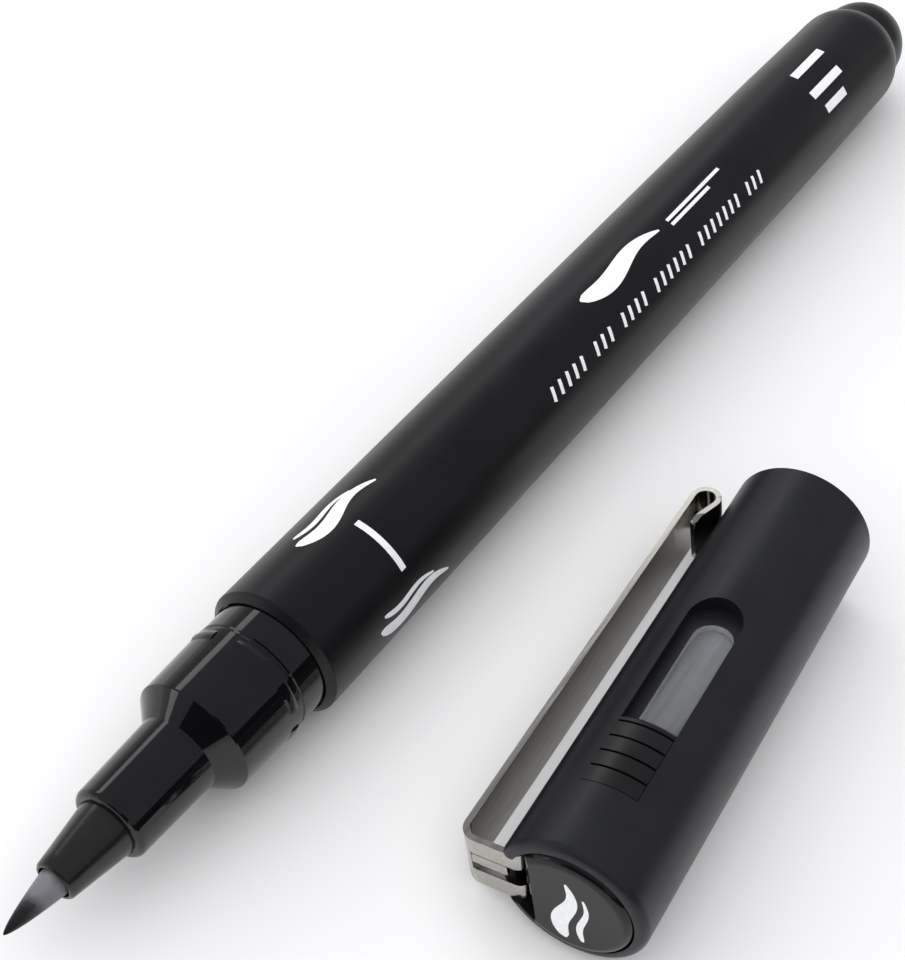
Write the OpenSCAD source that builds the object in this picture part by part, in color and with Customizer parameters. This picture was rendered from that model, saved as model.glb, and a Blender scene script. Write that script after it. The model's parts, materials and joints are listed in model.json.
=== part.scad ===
// Brush pen lying uncapped, with its cap lying beside it. Millimetres, +Z up, table at z = 0.
// The pen lies along X with its nib at -X. Pen and cap pieces are drawn on their own axis,
// measured from the barrel's front rim or from the cap's mouth, positive towards the tail.

/* [Barrel] */
// outside diameter of the barrel and of the cap
body_d = 11; // [10:0.1:13]
// length of the barrel from front rim to rear opening
barrel_l = 97; // [85:0.1:110]
// length of the slope on the barrel's front lip
lip_s = 0.5; // [0.3:0.05:0.8]
// distance from the rim where the rear taper starts
taper_s = 82; // [70:1:90]
// distance from the rim where the rear shoulder starts
shoulder_s = 94.4; // [92:0.1:96]
// radius where the rear shoulder starts
shoulder_r = 5.36; // [5.2:0.01:5.5]
// rounding radius of the rear shoulder
shoulder_round = 4.5; // [3:0.1:6]
// radius of the front opening
mouth_r = 4.9; // [4.8:0.01:5]
// radius of the bore behind the front section
bore_r = 4.6; // [4.4:0.05:4.8]
// radius of the domed tail plug
plug_r = 4.4; // [3.8:0.05:4.4]
// distance from the rim to the centre of the plug's dome
plug_s = 98.2; // [97.5:0.05:99]

/* [Front section] */
// length of the front section's spigot inside the barrel
spigot_l = 12; // [8:0.5:15]
// radius of the collar next to the rim
collar_r = 4.78; // [4.6:0.01:4.85]
// distance from the rim to the groove in front of the collar
groove_s = 2.35; // [2:0.05:2.6]
// distance from the rim to the ring of latch bumps
latch_s = 3.35; // [3.2:0.05:4]
// radius over the latch bumps
latch_r = 4.95; // [4.86:0.01:4.96]
// angle that one latch bump takes up
latch_turn = 28; // [4:1:34]
// number of latch bumps
latch_count = 7; // [5:1:16]
// radius of the main cylinder just in front of the groove
main_r = 4.84; // [4.6:0.01:4.85]
// radius of the main cylinder at its front edge
main_front_r = 4.72; // [4.5:0.01:4.8]
// distance from the rim to the front edge of the main cylinder
main_s = 8.6; // [8:0.05:10]
// distance from the rim to the root of the nose
nose_root_s = 10.1; // [9.5:0.05:11]
// radius of the nose at its root
nose_root_r = 3.16; // [3:0.01:3.3]
// distance from the rim to the front face of the nose
nose_s = 17.3; // [16.5:0.05:18.5]
// radius of the nose at its front edge
nose_r = 2.97; // [2.7:0.01:3.1]
// rounding of the nose's front edge
nose_round = 0.5; // [0.2:0.05:0.6]

/* [Nib] */
// radius of the nib holder where it leaves the nose
holder_r = 2.3; // [2.1:0.01:2.4]
// radius of the nib holder at its tip
holder_tip_r = 1.57; // [1.4:0.01:1.7]
// distance from the rim to the tip of the nib holder
holder_s = 22.35; // [21:0.05:24]
// radius of the nib where it leaves the holder
nib_r = 1.12; // [0.9:0.01:1.2]
// length of the nib outside the holder
nib_l = 4.55; // [3:0.05:6]
// fullness of the nib's belly, 1 for a straight cone
nib_full = 0.63; // [0.5:0.01:1]

/* [Ink] */
// radius of the fibre rod
fibre_r = 4.0; // [3.8:0.05:4.3]
// length of the fibre rod
fibre_l = 76; // [60:1:80]

/* [Cap] */
// length of the cap's shell
cap_l = 39.3; // [36:0.1:44]
// rounding of the closed end's outer edge
cap_round = 0.7; // [0.2:0.05:0.8]
// radius of the wide bore behind the cap's mouth
cap_bore_r = 5; // [4.98:0.01:5.05]
// depth of the wide bore
cap_bore_l = 11.2; // [10.9:0.1:12]
// radius of the narrow bore that holds the sealing cup
cup_bore_r = 3.65; // [3.6:0.05:3.8]
// depth of the narrow bore from the cap's mouth
cup_bore_s = 34.8; // [32:0.1:35]
// depth of the end recess that holds the badge
end_recess_l = 2.9; // [2:0.1:3.2]
// radius of the end recess
end_recess_r = 4.65; // [4.5:0.05:4.75]
// radius of the end badge
badge_r = 4.6; // [4.4:0.05:4.7]
// how far the badge stands out of the shell
badge_out = 0.35; // [0.2:0.05:0.6]
// rounding of the badge's edge
badge_round = 0.7; // [0.3:0.05:1]
// distance of the badge's flat side from the axis
badge_flat = 2.95; // [2.6:0.05:3.2]

/* [Recess in the cap] */
// direction of the recess round the cap, from straight up towards -Y
recess_turn = -10; // [-30:1:30]
// width of the recess
recess_w = 4.1; // [3.6:0.1:4.4]
// distance of the recess's floor from the axis
recess_floor = 4.2; // [4.05:0.05:4.4]
// distance from the mouth to the rounded end of the recess
recess_s = 14.9; // [13:0.1:17]
// distance from the mouth to the square end of the recess
recess_end_s = 33.45; // [33:0.05:34]
// distance from the mouth to the rounded end of the window
window_s = 16.9; // [16.5:0.1:19]
// length of the window
window_l = 10.3; // [8:0.1:10.4]
// width of the window
window_w = 3; // [2.5:0.1:3]
// sideways offset of the window in the recess
window_off = 0.5; // [-0.5:0.05:0.5]
// distance of the window's outer face from the axis
window_top = 4.75; // [4.3:0.05:4.9]
// distance from the mouth to the front of the ribbed block
rib_s = 27.45; // [27.3:0.05:28]
// distance from the mouth to the first groove
groove_first_s = 27.95; // [27.8:0.05:28.2]
// pitch of the grooves
rib_pitch = 1.37; // [1.2:0.01:1.4]
// radius over the ribs
rib_r = 5.54; // [5.4:0.01:5.8]
// depth of the grooves
rib_groove = 0.35; // [0.2:0.01:0.5]
// width of the grooves
groove_w = 0.18; // [0.1:0.01:0.3]

/* [Clip] */
// direction of the clip round the cap, from straight up towards -Y
clip_turn = -103; // [-115:1:-90]
// width of the clip strip
clip_w = 4.6; // [4:0.1:5]
// thickness of the clip strip
clip_t = 0.45; // [0.4:0.05:0.6]
// distance of the clip's outer face from the axis at the closed end
clip_out = 8.45; // [8.2:0.01:9]
// distance of the clip's outer face from the axis at the free end
clip_front = 8.3; // [8.15:0.01:9]
// distance from the mouth to the clip's face across the closed end
clip_end_s = 39; // [38.9:0.05:39.3]
// outer bend radius at the closed end
clip_bend = 1.3; // [1:0.05:1.6]
// distance of the inner leg's inner face from the axis
leg_in = 3.45; // [3.3:0.05:3.6]
// distance from the mouth to the centre of the curl
curl_s = 2.55; // [2.5:0.05:5]
// outer radius of the curl
curl_r = 1.27; // [1.2:0.01:1.32]
// lift of the curl's return leg
curl_lift = 21; // [8:1:24]
// length of the curl's return leg
curl_leg = 2.5; // [1.5:0.1:3]
// corner rounding of the return leg's end
leg_round = 1.1; // [0.5:0.1:2]
// width of the slot between the clip's prongs
fork_w = 1.7; // [1.4:0.1:2]

/* [Arrangement] */
// where the cap's mouth lies along the pen, from the barrel's rim
cap_along = 35.24; // [25:0.1:45]
// distance between the two axes at the cap's mouth
cap_beside = 24.87; // [22:0.1:30]
// angle of the cap to the pen
cap_yaw = 3.78; // [0:0.01:8]

/* [Hidden] */
$fn = 96;
body_r = body_d / 2;
fit = 0.03;
over = 1;
nib_s = holder_s + nib_l;
tail_s = plug_s + plug_r;
rim_x = (nib_s - tail_s) / 2;
cap_low = cap_beside + (cap_l - cap_round) * sin(cap_yaw) + (body_r - cap_round) * cos(cap_yaw) + cap_round;
pen_y = (cap_low - body_r) / 2;
fibre_s = 8;
latch_phase = 9.5;
bump_r = 0.9;
lip_edge = 0.2;
film_t = 0.08;
stem_r = 1;
stem_s = 21.6;
stem_back = 14;
cup_gap = 0.05;
cup_r = 3.2;
cup_s = 10.6;
cup_back = 29.5;
flange_t = 0.55;
wall_s = cap_l - end_recess_l;
leg_out = leg_in + clip_t;
notch_end = clip_t + 0.2 - clip_end_s;
leg_end_s = 34.95;
leg_bend = 0.8;
bend_x = clip_out - clip_bend;
bend_s = clip_end_s - clip_bend;
curl_x = clip_front - curl_r;
leg_tip_s = curl_s + curl_leg * cos(curl_lift) + curl_r * sin(curl_lift);

module at_pen() {
  translate([rim_x, pen_y, body_r]) rotate([0, 90, 0]) children();
}

module at_cap() {
  translate([rim_x + cap_along, pen_y - cap_beside, body_r])
    rotate([0, 0, cap_yaw]) rotate([0, 90, 0]) children();
}

// turns +X towards a direction round the axis, counted from straight up towards -Y
module facing(turn) {
  rotate([0, 0, 180 + turn]) children();
}

module span(r0, r1, s0, s1) {
  translate([r0, s0]) square([r1 - r0, s1 - s0]);
}

// a bar across the direction faced: from x0 to x1, w wide about y = off, from s0 to s1
module bar(x0, x1, w, s0, s1, off = 0) {
  translate([x0, off - w / 2, s0]) cube([x1 - x0, w, s1 - s0]);
}

function arc(x, s, r, a0, a1, n) =
  [for (i = [0:n]) [x + r * cos(a0 + (a1 - a0) * i / n), s + r * sin(a0 + (a1 - a0) * i / n)]];

module barrel_outline() {
  polygon(concat([[0, 0], [mouth_r + 0.04, 0]],
    arc(body_r - lip_edge, lip_s + 0.1, lip_edge, -50, 0, 5),
    [[body_r, taper_s], [shoulder_r, shoulder_s], [0, shoulder_s]]));
  intersection() {
    translate([shoulder_r - shoulder_round, shoulder_s]) circle(shoulder_round);
    span(0, body_r, shoulder_s - 0.001, barrel_l);
  }
}

module barrel() {
  color([0.05, 0.05, 0.06]) at_pen() rotate_extrude() difference() {
    barrel_outline();
    span(-over, mouth_r, -over, spigot_l + 0.5);
    span(-over, bore_r, 0, 90);
    span(-over, plug_r + fit, 0, barrel_l + over);
    translate([-body_r * 2, -over]) square([body_r * 2, barrel_l + 2 * over]);
  }
}

module section_outline() {
  polygon(concat(
    [[0, spigot_l], [mouth_r - fit, spigot_l], [mouth_r - fit, 0.25], [collar_r, 0.25],
     [collar_r, 0.15 - groove_s], [collar_r - 0.1, 0.05 - groove_s], [collar_r - 0.1, -0.1 - groove_s],
     [main_r, -0.25 - groove_s], [main_front_r, 0.1 - main_s], [main_front_r - 0.07, -main_s],
     [nose_root_r, -nose_root_s]],
    arc(nose_r - nose_round, nose_round - nose_s, nose_round, 0, -90, 7),
    [[0, -nose_s]]));
}

module latch_bumps() {
  for (i = [0:latch_count - 1])
    facing(latch_phase - latch_turn / 2 + i * 360 / latch_count)
      rotate_extrude(angle = latch_turn) translate([latch_r - bump_r, -latch_s]) circle(bump_r);
}

module grip_section() {
  color([0.02, 0.02, 0.02]) at_pen() difference() {
    union() {
      rotate_extrude() section_outline();
      latch_bumps();
    }
    rotate_extrude() {
      span(0, holder_r + fit, -nose_s - over, over);
      span(0, 4.1, 2.4 - nose_root_s, spigot_l + over);
    }
  }
}

module nib_holder() {
  color([0.04, 0.04, 0.04]) at_pen() rotate_extrude() difference() {
    polygon([[0, -6], [holder_r + 0.9, -6], [holder_r + 0.9, -7.5], [holder_r, -7.5],
             [holder_r, -nose_s], [holder_tip_r + 0.03, 0.18 - holder_s],
             [holder_tip_r - 0.12, -holder_s], [0, -holder_s]]);
    span(-over, stem_r + fit, -holder_s - over, 0);
    span(-over, nib_r + 0.16, -holder_s - over, 1 - holder_s);
  }
}

module nib_stem() {
  color([0.6, 0.6, 0.62]) at_pen() translate([0, 0, -stem_s])
    cylinder(r = stem_r, h = stem_s + stem_back);
}

module brush_nib() {
  color([0.35, 0.35, 0.37]) at_pen() rotate_extrude() polygon(concat(
    [[0, 0.15 - holder_s], [nib_r, 0.15 - holder_s]],
    [for (v = [0:0.1:0.9]) [nib_r * pow(1 - v, nib_full), -holder_s - nib_l * v]],
    [[nib_r * pow(0.04, nib_full), -holder_s - nib_l * 0.96], [0, -nib_s]]));
}

module ink_reservoir() {
  color([0.15, 0.15, 0.17]) at_pen() difference() {
    translate([0, 0, fibre_s]) cylinder(r = fibre_r, h = fibre_l);
    translate([0, 0, fibre_s - over]) cylinder(r = stem_r, h = stem_back - fibre_s + over);
  }
}

module reservoir_film() {
  color([0.8, 0.8, 0.82]) at_pen() translate([0, 0, fibre_s]) difference() {
    cylinder(r = fibre_r + film_t, h = fibre_l);
    translate([0, 0, -over]) cylinder(r = fibre_r, h = fibre_l + 2 * over);
  }
}

module tail_plug() {
  color([0.05, 0.05, 0.06]) at_pen() rotate_extrude() difference() {
    union() {
      span(0, plug_r, 90.5, plug_s);
      translate([0, plug_s]) circle(plug_r);
    }
    span(-over, plug_r - 1, 80, plug_s - 1);
    translate([-body_r, 80]) square([body_r, 40]);
  }
}

module shell_outline() {
  difference() {
    union() {
      span(0, body_r, cap_round - cap_l, -0.15);
      span(0, body_r - cap_round, -cap_l, 0);
      translate([body_r - cap_round, cap_round - cap_l]) circle(cap_round);
      polygon([[0, -0.2], [body_r, -0.2], [body_r, -0.15], [body_r - 0.15, 0], [0, 0]]);
    }
    span(-over, cap_bore_r, -cap_bore_l, over);
    span(-over, cup_bore_r, -cup_bore_s, over);
    span(-over, end_recess_r, -cap_l - over, -wall_s);
    translate([-body_r, -cap_l - over]) square([body_r, cap_l + 2 * over]);
  }
}

// a bar like the one above whose end at s1 is rounded
module rounded_bar(x0, x1, w, s0, s1, off = 0) {
  bar(x0, x1, w, s0, s1 - w / 2, off);
  translate([x0, off, s1 - w / 2]) rotate([0, 90, 0]) cylinder(d = w, h = x1 - x0);
}

module cap_shell() {
  color([0.05, 0.05, 0.06]) at_cap() difference() {
    rotate_extrude() shell_outline();
    facing(recess_turn) rounded_bar(recess_floor, body_r + over, recess_w, -recess_end_s, -recess_s);
    facing(recess_turn) rounded_bar(2, recess_floor + over, window_w + 2 * fit,
      -window_s - window_l - fit, fit - window_s, window_off);
    facing(clip_turn) bar(leg_in + 0.2, body_r + over, clip_w + 0.2, -cap_l - over, notch_end);
    facing(clip_turn) bar(leg_in - 0.15, leg_out + 0.5, clip_w + 0.2, -cap_l, over - cup_bore_s);
  }
}

module inner_cap() {
  color([0.85, 0.85, 0.83]) at_cap() rotate_extrude() difference() {
    union() {
      span(0, cup_bore_r - cup_gap, -cup_back, -cup_s);
      span(0, cap_bore_r - cup_gap, -cup_s - flange_t, -cup_s);
    }
    span(-over, cup_r, 0.6 - cup_back, over);
  }
}

module window() {
  color([0.55, 0.57, 0.6, 0.6]) at_cap() facing(recess_turn)
    rounded_bar(cup_bore_r + 0.07, window_top, window_w, -window_s - window_l, -window_s, window_off);
}

module rib_outline() {
  difference() {
    polygon([[4, fit - recess_end_s], [rib_r, fit - recess_end_s], [rib_r, -rib_s - 0.15],
             [rib_r - 0.1, -rib_s], [rib_r - 0.75, 0.2 - rib_s], [4, 0.2 - rib_s]]);
    for (i = [0:3])
      span(rib_r - rib_groove, rib_r + over, -groove_first_s - i * rib_pitch - groove_w / 2,
        -groove_first_s - i * rib_pitch + groove_w / 2);
  }
}

module thumb_ribs() {
  color([0.05, 0.05, 0.05]) at_cap() facing(recess_turn) intersection() {
    rotate_extrude() rib_outline();
    bar(recess_floor + 0.01, body_r + over, recess_w - 2 * fit, -recess_end_s, 0.3 - rib_s);
  }
}

module end_badge() {
  color([0.02, 0.02, 0.02]) at_cap() difference() {
    rotate_extrude() difference() {
      union() {
        span(0, badge_r, badge_round - cap_l - badge_out, -wall_s - 0.01);
        span(0, badge_r - badge_round, -cap_l - badge_out, -wall_s - 0.01);
        translate([badge_r - badge_round, badge_round - cap_l - badge_out]) circle(badge_round);
      }
      translate([-body_r, -cap_l - over]) square([body_r, cap_l]);
    }
    facing(clip_turn) bar(badge_flat, body_r, body_d, -cap_l - over, over - wall_s);
    facing(clip_turn) translate([badge_flat, 0, -cap_l - badge_out]) rotate([0, 45, 0])
      cube([0.5, body_d, 0.5], center = true);
  }
}

module bend(x, s, r, corner_x, corner_s) {
  intersection() {
    translate([x, s]) difference() {
      circle(r);
      circle(r - clip_t);
    }
    translate([min(x, corner_x), min(s, corner_s)]) square([abs(corner_x - x), abs(corner_s - s)]);
  }
}

module curl() {
  reach = 3 * curl_r;
  difference() {
    circle(curl_r);
    circle(curl_r - clip_t);
    polygon([[0, 0], [-reach * cos(curl_lift), -reach * sin(curl_lift)], [0, -reach], [reach, -reach],
             [reach, 0]]);
  }
  rotate(180 + curl_lift) span(curl_r - clip_t, curl_r, -0.03, curl_leg);
}

module clip_outline() {
  polygon([[clip_out, -bend_s], [clip_front, -curl_s], [clip_front - clip_t, -curl_s],
           [clip_out - clip_t, -bend_s]]);
  bend(bend_x, -bend_s, clip_bend, clip_out, -clip_end_s);
  span(leg_in + leg_bend, bend_x, -clip_end_s, clip_t - clip_end_s);
  bend(leg_in + leg_bend, leg_bend - clip_end_s, leg_bend, leg_in, -clip_end_s);
  span(leg_in, leg_out, leg_bend - clip_end_s, -leg_end_s);
  translate([curl_x, -curl_s]) curl();
}

module leg_corner() {
  difference() {
    bar(body_r - 0.5, curl_x + 0.2, leg_round + over, -leg_tip_s - over, leg_round - leg_tip_s,
      clip_w / 2 + (over - leg_round) / 2);
    translate([0, clip_w / 2 - leg_round, leg_round - leg_tip_s]) rotate([0, 90, 0])
      cylinder(r = leg_round, h = clip_out);
  }
}

module clip() {
  color([0.75, 0.75, 0.72]) at_cap() facing(clip_turn) difference() {
    rotate([90, 0, 0]) linear_extrude(clip_w, center = true) clip_outline();
    difference() {
      bar(leg_in - over, bend_x + 0.4, fork_w, -clip_end_s - over, 0.9 - clip_end_s);
      bar(leg_in + 1.4, bend_x + over, fork_w / 2, 0.12 - clip_end_s, over - clip_end_s, 0.15);
    }
    leg_corner();
    mirror([0, 1, 0]) leg_corner();
  }
}

barrel();
grip_section();
nib_holder();
nib_stem();
brush_nib();
ink_reservoir();
reservoir_film();
tail_plug();
cap_shell();
inner_cap();
window();
thumb_ribs();
end_badge();
clip();
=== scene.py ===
"""The looks of a brush pen lying uncapped beside its clip cap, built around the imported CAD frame."""
import json
import math

import bmesh
import bpy
from mathutils import Matrix, Vector


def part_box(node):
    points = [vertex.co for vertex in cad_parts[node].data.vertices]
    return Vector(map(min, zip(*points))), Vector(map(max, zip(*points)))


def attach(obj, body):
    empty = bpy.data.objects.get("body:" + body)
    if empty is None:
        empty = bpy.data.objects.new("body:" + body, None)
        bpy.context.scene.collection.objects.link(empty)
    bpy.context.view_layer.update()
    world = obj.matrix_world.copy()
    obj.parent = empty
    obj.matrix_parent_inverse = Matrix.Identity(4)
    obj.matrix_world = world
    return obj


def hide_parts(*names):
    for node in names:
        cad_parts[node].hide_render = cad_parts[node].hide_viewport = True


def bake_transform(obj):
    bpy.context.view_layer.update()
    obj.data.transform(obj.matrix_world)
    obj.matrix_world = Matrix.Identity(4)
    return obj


MM = 0.001
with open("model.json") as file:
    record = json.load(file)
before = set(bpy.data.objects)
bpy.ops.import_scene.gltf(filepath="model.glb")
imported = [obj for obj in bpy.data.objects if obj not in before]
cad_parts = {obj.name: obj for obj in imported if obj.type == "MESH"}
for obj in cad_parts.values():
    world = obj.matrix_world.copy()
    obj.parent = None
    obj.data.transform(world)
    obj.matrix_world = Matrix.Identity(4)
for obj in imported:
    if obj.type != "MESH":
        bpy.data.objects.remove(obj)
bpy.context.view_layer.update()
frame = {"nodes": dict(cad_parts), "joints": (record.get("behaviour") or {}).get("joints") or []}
NODES = frame["nodes"]
UP = Vector((0, 0, 1))

# the pen's own axis: its radius, its height, and the barrel's rim, from which lengths are counted
BARREL_LOW, BARREL_HIGH = (Vector(corner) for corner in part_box("barrel"))
BODY_R = (BARREL_HIGH.y - BARREL_LOW.y) / 2
PEN_AXIS = Vector((1, 0, 0))
RIM = Vector((BARREL_LOW.x, (BARREL_LOW.y + BARREL_HIGH.y) / 2, BODY_R))

# the nib's box, the holder's mouth along X, and how full the nib's belly is: its radius follows this
# power of the distance from the point
NIB_LOW, NIB_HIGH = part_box("brush_nib")
NIB_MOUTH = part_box("nib_holder")[0][0]
NIB_FULL = 0.63

# the cap's axis towards its mouth, the middle of its mouth, its side away from the pen, and the middle
# of its badge's face
CAP_TURN = next(joint for joint in frame["joints"] if joint["name"] == "cap_turn")
CAP_AXIS = Vector(CAP_TURN["axis"]).normalized()
CAP_MOUTH = Vector(CAP_TURN["pos_m"])
CAP_SIDE = CAP_AXIS.cross(UP)
CAP_L = 39.3
BADGE_OUT = 0.35
BADGE_FACE = CAP_MOUTH - CAP_AXIS * (CAP_L + BADGE_OUT) * MM

# how far print stands off its surface, and how far its sides reach into it, in millimetres
INK = 0.018
# how far the softboxes stand from the middle of the set, in metres
SOFTBOX_AWAY = 0.5


# ---------------------------------------------------------------- materials

def set_stops(ramp, first, last, *between):
    """Gives a colour ramp its stops, each a position and a colour."""
    for element, (position, colour) in zip(ramp.elements, (first, last)):
        element.position = position
        element.color = (*colour, 1)
    for position, colour in between:
        ramp.elements.new(position).color = (*colour, 1)


class Nodes:
    """A short way to build one material's node tree."""

    def __init__(self, name):
        self.material = bpy.data.materials.new(name)
        self.material.use_nodes = True
        self.tree = self.material.node_tree
        self.shader = self.tree.nodes["Principled BSDF"]

    def add(self, kind, links=None, **values):
        """A new node. Each value is a setting of the node, or else an input's value by its name."""
        node = self.tree.nodes.new(kind)
        for name, value in values.items():
            if hasattr(node, name):
                setattr(node, name, value)
            else:
                node.inputs[name.replace("_", " ")].default_value = value
        for name, source in (links or {}).items():
            self.tree.links.new(source, node.inputs[name])
        return node

    def set(self, **values):
        for name, value in values.items():
            self.shader.inputs[name.replace("_", " ")].default_value = value

    def link(self, source, name):
        self.tree.links.new(source, self.shader.inputs[name])

    def noise(self, scale, detail=4.0, stretch=(1, 1, 1), roughness=0.55, where="Object"):
        """Noise with scale lumps to a metre. A stretch below 1 draws them out along that axis."""
        place = self.add("ShaderNodeTexCoord").outputs[where]
        place = self.add("ShaderNodeMapping", {"Vector": place}, Scale=stretch).outputs[0]
        return self.add("ShaderNodeTexNoise", {"Vector": place}, Scale=scale, Detail=detail,
                        Roughness=roughness).outputs["Fac"]

    def spread(self, source, low, high, start=0.3, end=0.7):
        """Numbers that go from low to high while the source goes from start to end."""
        return self.add("ShaderNodeMapRange", {"Value": source}, From_Min=start, From_Max=end,
                        To_Min=low, To_Max=high).outputs["Result"]

    def tint(self, source, dark, light):
        """Colours between dark and light over the middle of a noise's range."""
        node = self.add("ShaderNodeValToRGB", {"Fac": source})
        set_stops(node.color_ramp, (0.3, dark), (0.7, light))
        return node.outputs["Color"]

    def bump(self, source, depth, strength=1.0):
        """A relief of the source, depth in millimetres."""
        return self.add("ShaderNodeBump", {"Height": source}, Strength=strength,
                        Distance=depth * MM).outputs["Normal"]


def satin_plastic(name, dark, light, rough, ior):
    """Moulded or lacquered plastic: a fine even grain, a faint unevenness in its sheen, and the light
    rubbing that handling leaves along it."""
    m = Nodes(name)
    clouds = m.noise(160, detail=3)
    rubbed = m.noise(900, detail=6, stretch=(0.12, 1, 1), roughness=0.7)
    sheen = m.add("ShaderNodeMath", {0: m.spread(clouds, rough - 0.03, rough + 0.03),
                                     1: m.spread(rubbed, 0.0, -0.07, 0.5, 0.75)}, operation="ADD")
    m.link(m.tint(clouds, dark, light), "Base Color")
    m.link(sheen.outputs[0], "Roughness")
    m.link(m.bump(m.noise(5200, detail=2), 0.006, 0.5), "Normal")
    m.set(IOR=ior)
    return m.material


def gloss_plastic(name, dark, light, rough, ior=1.48):
    """Polished moulded plastic: deep gloss over a barely uneven skin."""
    m = Nodes(name)
    m.link(m.tint(m.noise(220, detail=3), dark, light), "Base Color")
    m.link(m.spread(m.noise(900, detail=5), rough * 0.8, rough * 1.3), "Roughness")
    m.link(m.bump(m.noise(260, detail=2), 0.010, 0.5), "Normal")
    m.set(IOR=ior)
    return m.material


def drawn_steel(name):
    """Nickel-plated spring strip with faint drawing lines along its length."""
    m = Nodes(name)
    lines = m.noise(5200, detail=6, stretch=(0.02, 1, 1), roughness=0.7)
    m.link(m.tint(lines, (0.34, 0.325, 0.295), (0.52, 0.505, 0.475)), "Base Color")
    m.link(m.spread(lines, 0.12, 0.2), "Roughness")
    m.link(m.bump(lines, 0.003, 0.4), "Normal")
    m.set(Metallic=1.0)
    return m.material


def smoked_window(name):
    """Smoked clear plastic, with flow streaks along it from its moulding, over the pale cup behind."""
    m = Nodes(name)
    flow = m.noise(900, detail=4, stretch=(0.08, 1, 1))
    m.link(m.tint(flow, (0.40, 0.41, 0.43), (0.62, 0.63, 0.66)), "Base Color")
    m.link(m.spread(flow, 0.10, 0.22), "Roughness")
    m.link(m.bump(flow, 0.02, 0.4), "Normal")
    m.set(Transmission_Weight=0.9, IOR=1.49)
    return m.material


def fibre(name, dark, light):
    """Ink-soaked fibre rod: fine strands along the pen."""
    m = Nodes(name)
    strands = m.noise(4200, detail=5, stretch=(0.03, 1, 1))
    m.link(m.tint(strands, dark, light), "Base Color")
    m.link(m.bump(strands, 0.03), "Normal")
    m.set(Roughness=0.85)
    return m.material


def nib_felt(name):
    """Soft nib: grey and slightly clear at its root, black with ink towards its point. Its UV runs
    round the nib in U and from root to point in V, so the colour stays on the felt."""
    m = Nodes(name)
    uv = m.add("ShaderNodeTexCoord").outputs["UV"]
    from_root = m.add("ShaderNodeSeparateXYZ", {"Vector": uv}).outputs["Y"]
    ragged = 0.34  # how far, in V, the ink's edge wanders from end to end
    wander = m.noise(1.0, stretch=(7, 2.5, 1), roughness=0.5, where="UV")
    shift = m.add("ShaderNodeMath", {0: wander}, operation="MULTIPLY_ADD")
    shift.inputs[1].default_value = ragged
    shift.inputs[2].default_value = -ragged / 2
    along = m.add("ShaderNodeMath", {0: from_root, 1: shift.outputs[0]}, operation="ADD")
    ink = m.add("ShaderNodeValToRGB", {"Fac": along.outputs[0]})
    greys = [(position, (grey, grey * 1.02, grey * 1.12))
             for position, grey in ((0.12, 0.17), (0.36, 0.145), (0.50, 0.026), (0.66, 0.009))]
    set_stops(ink.color_ramp, (0.0, (0.085, 0.088, 0.098)), (1.0, (0.005, 0.005, 0.006)), *greys)
    strands = m.noise(1.0, stretch=(60, 3, 1), roughness=0.5, where="UV")
    m.link(ink.outputs["Color"], "Base Color")
    m.link(m.bump(strands, 0.02, 0.6), "Normal")
    m.link(m.spread(strands, 0.3, 0.5), "Roughness")
    m.set(Subsurface_Weight=0.15, Subsurface_Scale=0.4 * MM, IOR=1.36)
    return m.material


def print_white(name):
    """Pad-printed white ink, slightly uneven in cover."""
    m = Nodes(name)
    m.link(m.tint(m.noise(2500, detail=5), (0.80, 0.81, 0.83), (0.90, 0.91, 0.92)), "Base Color")
    m.link(m.bump(m.noise(6000), 0.004), "Normal")
    m.set(Roughness=0.5)
    return m.material


def paint(node, material):
    NODES[node].data.materials.clear()
    NODES[node].data.materials.append(material)


def paint_all():
    """Gives every CAD node its material: two colours, dark and light, then its roughness and IOR."""
    body = (0.0036, 0.0036, 0.0044), (0.0058, 0.0058, 0.0070)
    cap = (0.0070, 0.0073, 0.0094), (0.0098, 0.0103, 0.0130)
    ribs = (0.0045, 0.0045, 0.0050), (0.0070, 0.0070, 0.0080)
    gloss = (0.0030, 0.0030, 0.0036), (0.0050, 0.0050, 0.0058)
    holder = (0.0060, 0.0058, 0.0055), (0.0095, 0.0092, 0.0088)
    cup = (0.5, 0.5, 0.49), (0.56, 0.56, 0.55)
    film = (0.5, 0.5, 0.52), (0.6, 0.6, 0.62)
    paint("barrel", satin_plastic("barrel_satin", *body, 0.37, 1.36))
    paint("tail_plug", satin_plastic("plug_satin", *body, 0.37, 1.36))
    paint("cap_shell", satin_plastic("cap_satin", *cap, 0.38, 1.41))
    paint("thumb_ribs", satin_plastic("rib_satin", *ribs, 0.32, 1.42))
    paint("grip_section", gloss_plastic("section_gloss", *gloss, 0.05))
    paint("nib_holder", gloss_plastic("holder_gloss", *holder, 0.22))
    paint("end_badge", gloss_plastic("badge_gloss", *gloss, 0.12, ior=1.4))
    paint("clip", drawn_steel("clip_steel"))
    paint("window", smoked_window("window_smoke"))
    paint("inner_cap", satin_plastic("cup_plastic", *cup, 0.5, 1.48))
    paint("ink_reservoir", fibre("ink_rod", (0.01, 0.01, 0.012), (0.04, 0.04, 0.045)))
    paint("nib_stem", fibre("stem_fibre", (0.03, 0.03, 0.034), (0.09, 0.09, 0.1)))
    paint("reservoir_film", gloss_plastic("film_gloss", *film, 0.15))


# ---------------------------------------------------------------- modelling helpers

def soften(node, width):
    """Rounds a CAD node's sharp edges a little, so that they catch the light as real edges do."""
    obj = NODES[node]
    weld = obj.modifiers.new("weld", "WELD")
    weld.merge_threshold = 0.002 * MM
    bevel = obj.modifiers.new("bevel", "BEVEL")
    bevel.width = width * MM
    bevel.segments = 3
    bevel.limit_method = "ANGLE"
    bevel.angle_limit = math.radians(32)
    bevel.harden_normals = True


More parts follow.
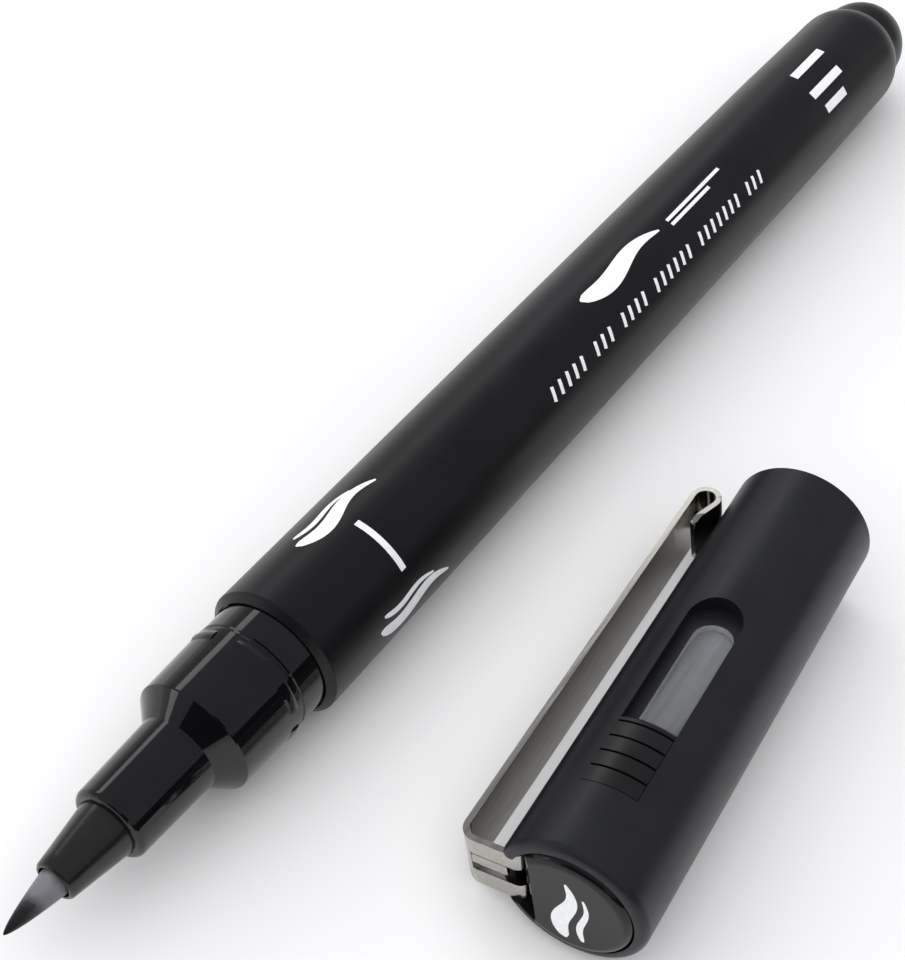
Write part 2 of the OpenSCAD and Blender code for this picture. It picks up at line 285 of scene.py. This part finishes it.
def new_mesh(name, build, material, smooth=True):
    bm = bmesh.new()
    build(bm)
    bmesh.ops.recalc_face_normals(bm, faces=bm.faces)
    mesh = bpy.data.meshes.new(name)
    bm.to_mesh(mesh)
    bm.free()
    mesh.materials.append(material)
    for face in mesh.polygons:
        face.use_smooth = smooth
    obj = bpy.data.objects.new(name, mesh)
    bpy.context.scene.collection.objects.link(obj)
    return obj


# ---------------------------------------------------------------- nib

def brush_nib():
    """The felt nib: a slim cone with a slightly full belly, from inside the holder to its point."""
    rings, sides = 56, 64
    root = NIB_MOUTH + 0.15 * MM
    root_r = (NIB_HIGH[1] - NIB_LOW[1]) / 2
    length = root - NIB_LOW[0]

    def build(bm):
        uv = bm.loops.layers.uv.new("UVMap")
        rows = []
        for i in range(rings):
            v = i / rings
            r = root_r * (1 - v) ** NIB_FULL
            ring = []
            for j in range(sides):
                angle = 2 * math.pi * j / sides
                across, upwards = r * math.cos(angle), r * math.sin(angle)
                ring.append(bm.verts.new((root - length * v, RIM.y + across, RIM.z + upwards)))
            rows.append(ring)
        tip = bm.verts.new((NIB_LOW[0], RIM.y, RIM.z))
        back = bm.verts.new((root, RIM.y, RIM.z))

        def face(verts, coords):
            for loop, co in zip(bm.faces.new(verts).loops, coords):
                loop[uv].uv = co

        last = (rings - 1) / rings
        for j in range(sides):
            k = (j + 1) % sides
            u0, u1 = j / sides, (j + 1) / sides
            for i in range(rings - 1):
                v0, v1 = i / rings, (i + 1) / rings
                face((rows[i][j], rows[i][k], rows[i + 1][k], rows[i + 1][j]),
                     ((u0, v0), (u1, v0), (u1, v1), (u0, v1)))
            face((rows[-1][j], rows[-1][k], tip), ((u0, last), (u1, last), (u0, 1)))
            face((rows[0][k], rows[0][j], back), ((u1, 0), (u0, 0), (u0, 0)))

    nib = new_mesh("nib_felt", build, nib_felt("nib_felt"))
    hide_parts("brush_nib")
    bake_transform(nib)


# ---------------------------------------------------------------- printed marks

def on_barrel(a, b, h):
    """Flat print to barrel: a along the axis from the rim, b round it from the top towards -Y, and h
    outwards."""
    angle = b / BODY_R
    outwards = Vector((0, -math.sin(angle), math.cos(angle)))
    return RIM + PEN_AXIS * a + outwards * (BODY_R + h)


def on_badge(a, b, h):
    """Flat print to badge: a towards -Y, b upwards, h outwards, from the middle of the badge's face."""
    return BADGE_FACE + CAP_SIDE * a + UP * b - CAP_AXIS * h


def at(along, turn):
    """A place on the barrel's flat print, from millimetres along it and degrees round it."""
    return along, math.radians(turn) * BODY_R / MM


def line(start, end):
    start, end = Vector(start), Vector(end)
    return lambda t: start.lerp(end, t)


def swash(start, end, wave):
    """A middle line that swings to one side and back to the other, as a brush stroke does."""
    start, end = Vector(start), Vector(end)
    side = (end - start).normalized().orthogonal()
    return lambda t: start.lerp(end, t) + side * wave * math.sin(2 * math.pi * t)


def even(width):
    return lambda t: width / 2


def tapered(widest):
    """Half widths of a stroke that swells soon after its start and thins out to its end."""
    thin = 0.08
    return lambda t: thin + (widest / 2 - thin) * math.sin(math.pi * t ** 0.62) ** 0.8


def strip(bm, place, centre, half):
    """One printed strip. While t goes from 0 to 1, centre(t) gives its middle line and half(t) half its
    width. It is cut into steps along it and lanes across it, so that it follows a round surface."""
    steps, lane = 24, 0.3
    ink = INK * MM
    widest = max(half(i / steps) for i in range(steps + 1))
    lanes = max(2, math.ceil(2 * widest / lane))
    rows = []
    for i in range(steps + 1):
        t = i / steps
        here, ahead, behind = (Vector(centre(u)) for u in (t, min(t + 0.01, 1), max(t - 0.01, 0)))
        side = (ahead - behind).normalized().orthogonal() * half(t)
        row = [place(*((here - side) * MM), -ink)]
        row += [place(*((here + side * (2 * j / lanes - 1)) * MM), ink) for j in range(lanes + 1)]
        row += [place(*((here + side) * MM), -ink)]
        rows.append([bm.verts.new(co) for co in row])
    for one, two in zip(rows, rows[1:]):
        for j in range(len(one) - 1):
            bm.faces.new((one[j], one[j + 1], two[j + 1], two[j]))
        bm.faces.new((one[-1], one[0], two[0], two[-1]))
    bm.faces.new(list(reversed(rows[0])))
    bm.faces.new(rows[-1])


def printed(name, place, strips, material, body):
    def build(bm):
        for centre, half in strips:
            strip(bm, place, centre, half)

    obj = new_mesh(name, build, material, smooth=False)
    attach(obj, body)


def ticks():
    """A row of slanted ticks in groups, as long as the line of words it stands for."""
    along, pitch, gap, slant = 31.2, 1.12, 1.05, 0.45
    for count in (5, 3, 4, 6, 7, 3):
        for _ in range(count):
            yield line(at(along, 49), at(along + slant, 37)), even(0.36)
            along += pitch
        along += gap


def marks():
    """Plain strokes, ticks and bars stand where the real pen carries its lettering."""
    white = print_white("print_white")

    def on_pen(name, *strips):
        printed(name, on_barrel, strips, white, "pen")

    on_pen("mark_line", (line(at(10, 0), at(10, 52)), even(0.55)))
    on_pen("mark_swash_left",
           (swash(at(5.9, -25), at(14.4, -15), 0.55), tapered(1.25)),
           (swash(at(6.6, -34), at(12.6, -27), 0.25), tapered(0.5)))
    on_pen("mark_swash_right",
           (swash(at(5.9, 80), at(14.4, 88), 0.55), tapered(1.25)),
           (swash(at(6.6, 70), at(12.6, 75), 0.25), tapered(0.5)))
    on_pen("mark_stroke",
           (swash(at(40.6, 4), at(52.8, 10), 0.45), tapered(1.7)),
           (line(at(54.3, 9), at(63.7, 9)), even(0.32)),
           (line(at(54.3, 15), at(61.0, 15)), even(0.32)))
    on_pen("mark_ticks", *ticks())
    on_pen("mark_bars",
           (line(at(80.8, -1), at(86.6, -1)), even(0.85)),
           (line(at(80.0, 26), at(85.9, 26)), even(0.85)),
           (line(at(80.6, 46), at(84.6, 46)), even(0.85)))
    badge = [(swash((0.4, -3.4), (-0.5, 2.5), 0.45), tapered(1.3)),
             (swash((1.6, -2.9), (0.9, 1.7), 0.25), tapered(0.5))]
    printed("mark_badge", on_badge, badge, white, "cap")


# ---------------------------------------------------------------- camera and stage

def camera():
    """The camera stands in front of the nib, to the cap's side, and looks down along the pen."""
    data = bpy.data.cameras.new("camera")
    data.sensor_fit = "HORIZONTAL"
    data.sensor_width = 36
    data.lens = 71.6
    data.clip_start = 0.001
    obj = bpy.data.objects.new("camera", data)
    bpy.context.scene.collection.objects.link(obj)
    # turned from +X towards +Y, then tipped down, then rolled about its line of sight
    across, pitch, roll = math.radians(29.34), math.radians(47.436), math.radians(-6.35)
    forward = Vector((math.cos(across) * math.cos(pitch), math.sin(across) * math.cos(pitch),
                      -math.sin(pitch)))
    level = forward.cross(UP).normalized()
    down = forward.cross(level)
    right = level * math.cos(roll) + down * math.sin(roll)
    turned = Matrix((right, right.cross(forward), -forward)).transposed().to_4x4()
    under_rim = Vector((RIM.x, RIM.y, 0))
    place = under_rim + Vector((-60.763, -47.287, 109.003)) * MM
    obj.matrix_world = Matrix.Translation(place) @ turned
    bpy.context.scene.camera = obj


def lamp(name, kind, towards):
    """A lamp that shines on the middle of the set from the direction given."""
    data = bpy.data.lights.new(name, kind)
    obj = bpy.data.objects.new(name, data)
    bpy.context.scene.collection.objects.link(obj)
    obj.rotation_euler = Vector(towards).to_track_quat("Z", "Y").to_euler()
    return obj, data


def softbox(name, towards, size, power):
    obj, data = lamp(name, "AREA", towards)
    obj.location = Vector(towards).normalized() * SOFTBOX_AWAY
    data.shape = "RECTANGLE"
    data.size, data.size_y = size
    data.energy = power


def daylight(strength, spread):
    """Even light from above, too wide to throw a hard shadow, that nothing mirrors."""
    obj, data = lamp("daylight", "SUN", (-0.25, 0.2, 1))
    obj.visible_glossy = False
    data.energy = strength
    data.angle = math.radians(spread)


def studio(horizon, zenith):
    """Surroundings that are pale at the horizon and dim overhead."""
    world = bpy.data.worlds.new("studio")
    world.use_nodes = True
    tree = world.node_tree
    where = tree.nodes.new("ShaderNodeTexCoord")
    apart = tree.nodes.new("ShaderNodeSeparateXYZ")
    ramp = tree.nodes.new("ShaderNodeValToRGB")
    tree.links.new(where.outputs["Generated"], apart.inputs[0])
    tree.links.new(apart.outputs["Z"], ramp.inputs["Fac"])
    tree.links.new(ramp.outputs["Color"], tree.nodes["Background"].inputs["Color"])
    set_stops(ramp.color_ramp, (0.02, (horizon, horizon, horizon)),
              (0.30, (zenith, zenith, zenith * 1.06)))
    bpy.context.scene.world = world


def sheet(name, corners, material):
    """One flat face that belongs to the stage and not to the pen."""
    obj = new_mesh(name, lambda bm: bm.faces.new([bm.verts.new(co) for co in corners]), material,
                   smooth=False)
    return obj


def flags():
    """Black cards that only reflections see. They keep the near and the right-hand side dark."""
    m = Nodes("flag_black")
    m.set(Base_Color=(0.004, 0.004, 0.004, 1), Roughness=1.0, Specular_IOR_Level=0.0)
    right = (-0.5, -0.34, 0.003), (0.7, -0.34, 0.003), (0.7, -0.34, 0.13), (-0.5, -0.34, 0.13)
    front = (-0.42, -0.30, 0.05), (-0.42, 0.14, 0.05), (-0.36, 0.14, 0.30), (-0.36, -0.30, 0.30)
    for name, corners in (("flag_right", right), ("flag_front", front)):
        card = sheet(name, corners, m.material)
        for ray in ("camera", "diffuse", "transmission", "volume_scatter", "shadow"):
            setattr(card, "visible_" + ray, False)


def floor(half, drop):
    """A pale floor, let down by a hair so that the pen doesn't touch its plane."""
    m = Nodes("floor_pale")
    m.link(m.tint(m.noise(8), (0.80, 0.80, 0.80), (0.83, 0.83, 0.83)), "Base Color")
    m.set(Roughness=0.9, Specular_IOR_Level=0.1)
    corners = [(x * half, y * half, -drop) for x, y in ((-1, -1), (1, -1), (1, 1), (-1, 1))]
    sheet("floor", corners, m.material)


def stage():
    floor(half=30.0, drop=0.02 * MM)
    studio(horizon=0.80, zenith=0.36)
    daylight(strength=2.75, spread=110)
    softbox("over", towards=(0.43, 0.70, 0.55), size=(0.50, 0.09), power=0.26)
    softbox("window", towards=(-0.66, 0.67, 0.26), size=(0.09, 0.09), power=0.045)
    flags()
    bpy.context.scene.view_settings.view_transform = "Standard"


camera()
paint_all()
soften("clip", 0.09)
soften("nib_holder", 0.05)
brush_nib()
marks()
stage()
